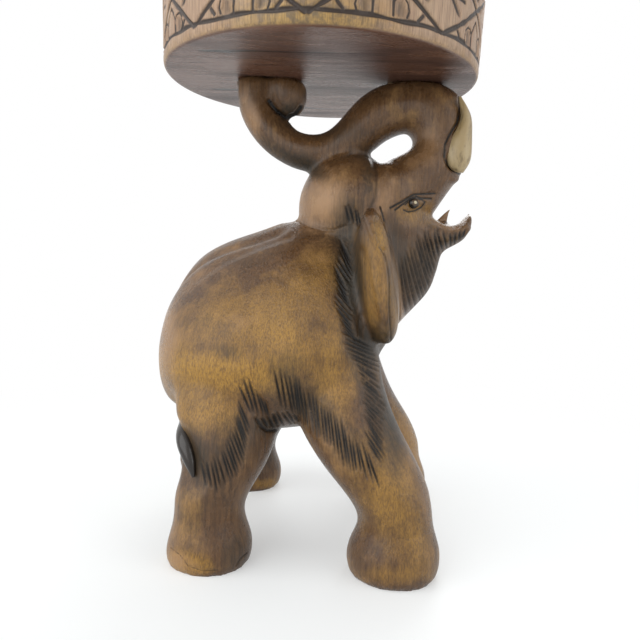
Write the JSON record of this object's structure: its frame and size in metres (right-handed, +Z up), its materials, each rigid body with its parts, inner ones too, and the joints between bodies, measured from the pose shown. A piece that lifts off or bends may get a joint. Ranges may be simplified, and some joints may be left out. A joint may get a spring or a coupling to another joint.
{
  "type": "carved elephant stool",
  "caption": "Stool carved from wood as a standing elephant that lifts its trunk to carry a round drum seat with a carved zig-zag band.",
  "frame": {"origin": "on the floor below the middle of the seat", "axes": "+X the way the elephant looks, +Y to its left, +Z up"},
  "size_m": [0.2903, 0.2902, 0.5],
  "materials": {
    "stained_wood": "brown stain worn golden on the flanks and legs, semi-gloss lacquer",
    "seat_wood": "tan wood with dark stained carving, satin lacquer",
    "tusk_ivory_paint": "cream painted wood with dark smudges, semi-gloss",
    "eye_bead": "amber painted bead, glossy",
    "dowel_wood": "plain beech"
  },
  "bodies": {
    "root": {"elephant": "stained_wood", "seat": "seat_wood", "tusk_right": "tusk_ivory_paint", "tusk_left": "tusk_ivory_paint", "eye_right": "eye_bead", "eye_left": "eye_bead", "seat_dowel_front": "dowel_wood", "seat_dowel_middle": "dowel_wood", "seat_dowel_rear": "dowel_wood"}
  },
  "joints": []
}
